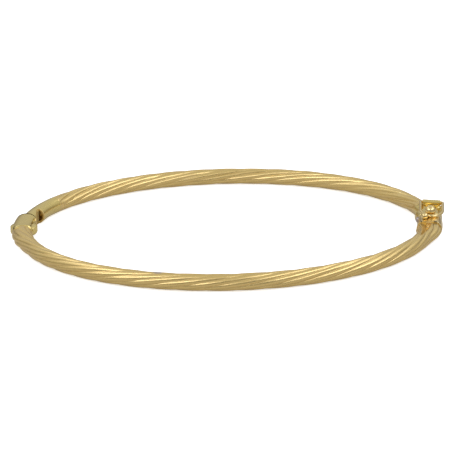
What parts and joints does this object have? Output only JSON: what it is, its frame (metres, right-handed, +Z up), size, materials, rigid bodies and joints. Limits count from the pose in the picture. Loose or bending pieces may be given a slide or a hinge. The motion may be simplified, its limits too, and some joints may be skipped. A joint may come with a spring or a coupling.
{
  "type": "bangle",
  "caption": "Oval hinged bangle of hollow twisted yellow gold tube with a tongue clasp and a wire safety catch.",
  "frame": {"origin": "centre of the oval, on the surface that the bangle lies on", "axes": "+X points from the hinge to the clasp, +Y to the back arm, +Z up, along the wrist that it is worn on"},
  "size_m": [0.0685, 0.0566, 0.0043],
  "materials": {
    "satin_gold": "satin, finely lined along the flutes",
    "polished_gold": "polished, slightly greenish",
    "bright_gold": "high polish"
  },
  "bodies": {
    "back_arm": {"back_tube": "satin_gold", "hinge_knuckle": "polished_gold", "clasp_cap": "polished_gold", "clasp_tongue": "bright_gold"},
    "front_arm": {"front_tube": "satin_gold", "hinge_fork": "polished_gold", "hinge_pin": "polished_gold", "clasp_socket": "bright_gold"},
    "catch": {"safety_catch": "bright_gold"}
  },
  "joints": [
    {"name": "main_hinge", "type": "hinge", "parent": "back_arm", "child": "front_arm", "pos_m": [-0.032, 0.0017, 0], "axis": [0, 0, -1], "range_deg": [0, 50]},
    {"name": "catch_hinge", "type": "hinge", "parent": "back_arm", "child": "catch", "pos_m": [0.03245, 0.0053, 0.00296], "axis": [-0.9962, 0.0872, 0], "range_deg": [0, 165]}
  ]
}
